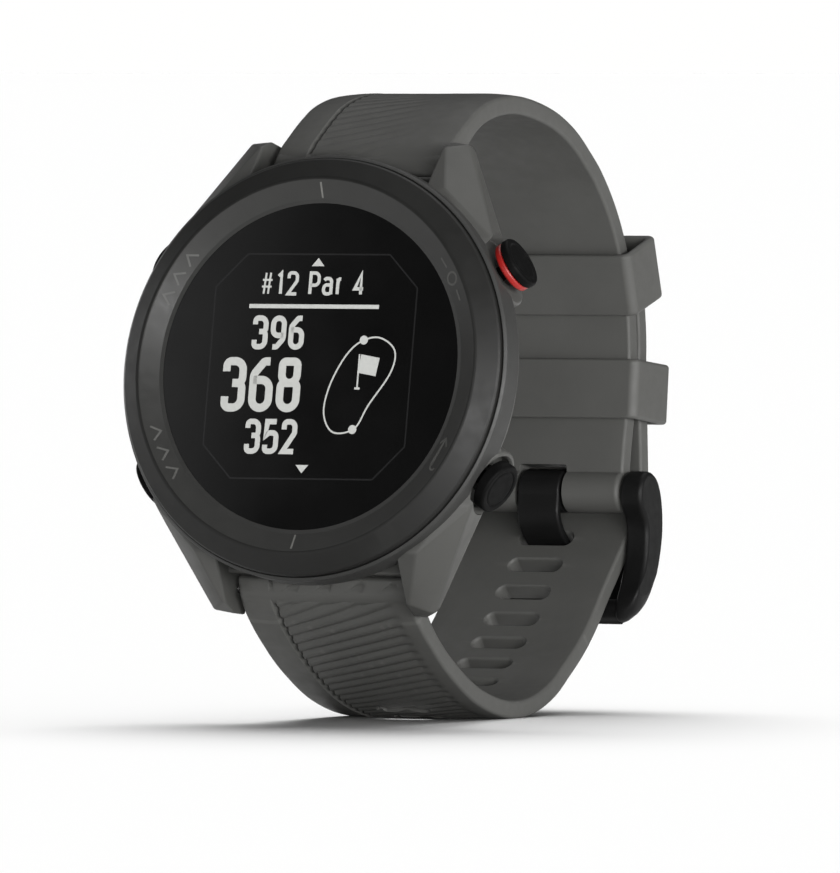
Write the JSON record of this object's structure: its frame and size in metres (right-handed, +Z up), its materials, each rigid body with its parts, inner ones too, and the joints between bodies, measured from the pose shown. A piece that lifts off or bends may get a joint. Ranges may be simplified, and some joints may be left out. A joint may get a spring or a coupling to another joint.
{
  "type": "golf gps watch",
  "caption": "Round-cased wrist watch for golf distances, with pressed side buttons and a buckled two-part strap closed into a standing loop.",
  "frame": {"origin": "centre of the footprint on the surface that the strap stands on", "axes": "+Z up, +X towards the three o'clock side of the face, the face looks towards -Y and leans back 10 degrees"},
  "size_m": [0.0436, 0.0654, 0.0639],
  "materials": {
    "bezel_polymer": "dark satin moulding",
    "black_polymer": "black satin",
    "board": "green solder mask",
    "case_polymer": "fine matte moulding texture",
    "ceramic": "unglazed ceramic",
    "display": "dark reflective display",
    "foil": "foil pouch",
    "gold": "gold-plated",
    "lens": "black-masked glossy glass",
    "red_polymer": "satin red",
    "seal": "black seal rubber",
    "silicone": "soft matte silicone",
    "steel": "fine turned steel"
  },
  "bodies": {
    "watch": {"battery_cell": "foil", "bezel_ring": "bezel_polymer", "buckle_bar": "steel", "button_seal_back": "seal", "button_seal_down": "seal", "button_seal_ok": "seal", "button_seal_up": "seal", "case_shell": "case_polymer", "contact_block": "black_polymer", "contact_pin_1": "gold", "contact_pin_2": "gold", "contact_pin_3": "gold", "contact_pin_4": "gold", "display_panel": "display", "gps_antenna": "ceramic", "inner_frame": "black_polymer", "keeper_fixed": "silicone", "lens": "lens", "lens_seal": "seal", "main_board": "board", "rear_cover": "case_polymer", "rear_screw_1": "steel", "rear_screw_2": "steel", "rear_screw_3": "steel", "rear_screw_4": "steel", "rear_seal": "seal", "spring_bar_lower": "steel", "spring_bar_upper": "steel", "strap_buckle_side": "silicone", "strap_hole_side": "silicone", "switch_back": "steel", "switch_down": "steel", "switch_ok": "steel", "switch_up": "steel"},
    "button_up_body": {"button_up": "black_polymer", "button_clip_up": "steel"},
    "button_ok_body": {"button_ok": "black_polymer", "button_clip_ok": "steel", "ok_accent_ring": "red_polymer"},
    "button_down_body": {"button_down": "black_polymer", "button_clip_down": "steel"},
    "button_back_body": {"button_back": "black_polymer", "button_clip_back": "steel"},
    "release_pin_upper_body": {"release_pin_upper": "steel"},
    "release_pin_lower_body": {"release_pin_lower": "steel"},
    "keeper_sliding_body": {"keeper_sliding": "silicone"},
    "buckle_frame_body": {"buckle_frame": "black_polymer"},
    "buckle_tongue_body": {"buckle_tongue": "black_polymer"}
  },
  "joints": [
    {"name": "button_up_press", "type": "slide", "parent": "watch", "child": "button_up_body", "axis": [0.866, -0.0868, -0.4924], "range_m": [0, 0.0006], "stiffness_N_per_m": 1500, "springref_m": -0.0004},
    {"name": "button_ok_press", "type": "slide", "parent": "watch", "child": "button_ok_body", "axis": [-0.866, -0.0868, -0.4924], "range_m": [0, 0.0006], "stiffness_N_per_m": 1500, "springref_m": -0.0004},
    {"name": "button_down_press", "type": "slide", "parent": "watch", "child": "button_down_body", "axis": [0.866, 0.0868, 0.4924], "range_m": [0, 0.0006], "stiffness_N_per_m": 1500, "springref_m": -0.0004},
    {"name": "button_back_press", "type": "slide", "parent": "watch", "child": "button_back_body", "axis": [-0.866, 0.0868, 0.4924], "range_m": [0, 0.0006], "stiffness_N_per_m": 1500, "springref_m": -0.0004},
    {"name": "release_pin_upper_slide", "type": "slide", "parent": "watch", "child": "release_pin_upper_body", "axis": [-1, 0, 0], "range_m": [0, 0.0012], "stiffness_N_per_m": 500, "springref_m": -0.0008},
    {"name": "release_pin_lower_slide", "type": "slide", "parent": "watch", "child": "release_pin_lower_body", "axis": [-1, 0, 0], "range_m": [0, 0.0012], "stiffness_N_per_m": 500, "springref_m": -0.0008},
    {"name": "keeper_slide", "type": "hinge", "parent": "watch", "child": "keeper_sliding_body", "pos_m": [0, 0.00185, 0.03712], "axis": [1, 0, 0], "range_deg": [-9, 24]},
    {"name": "buckle_frame_swing", "type": "hinge", "parent": "watch", "child": "buckle_frame_body", "pos_m": [0, 0.02477, 0.02262], "axis": [1, 0, 0], "range_deg": [-3, 2.5]},
    {"name": "buckle_tongue_swing", "type": "hinge", "parent": "watch", "child": "buckle_tongue_body", "pos_m": [0, 0.02477, 0.02262], "axis": [1, 0, 0], "range_deg": [-1.5, 3]}
  ]
}
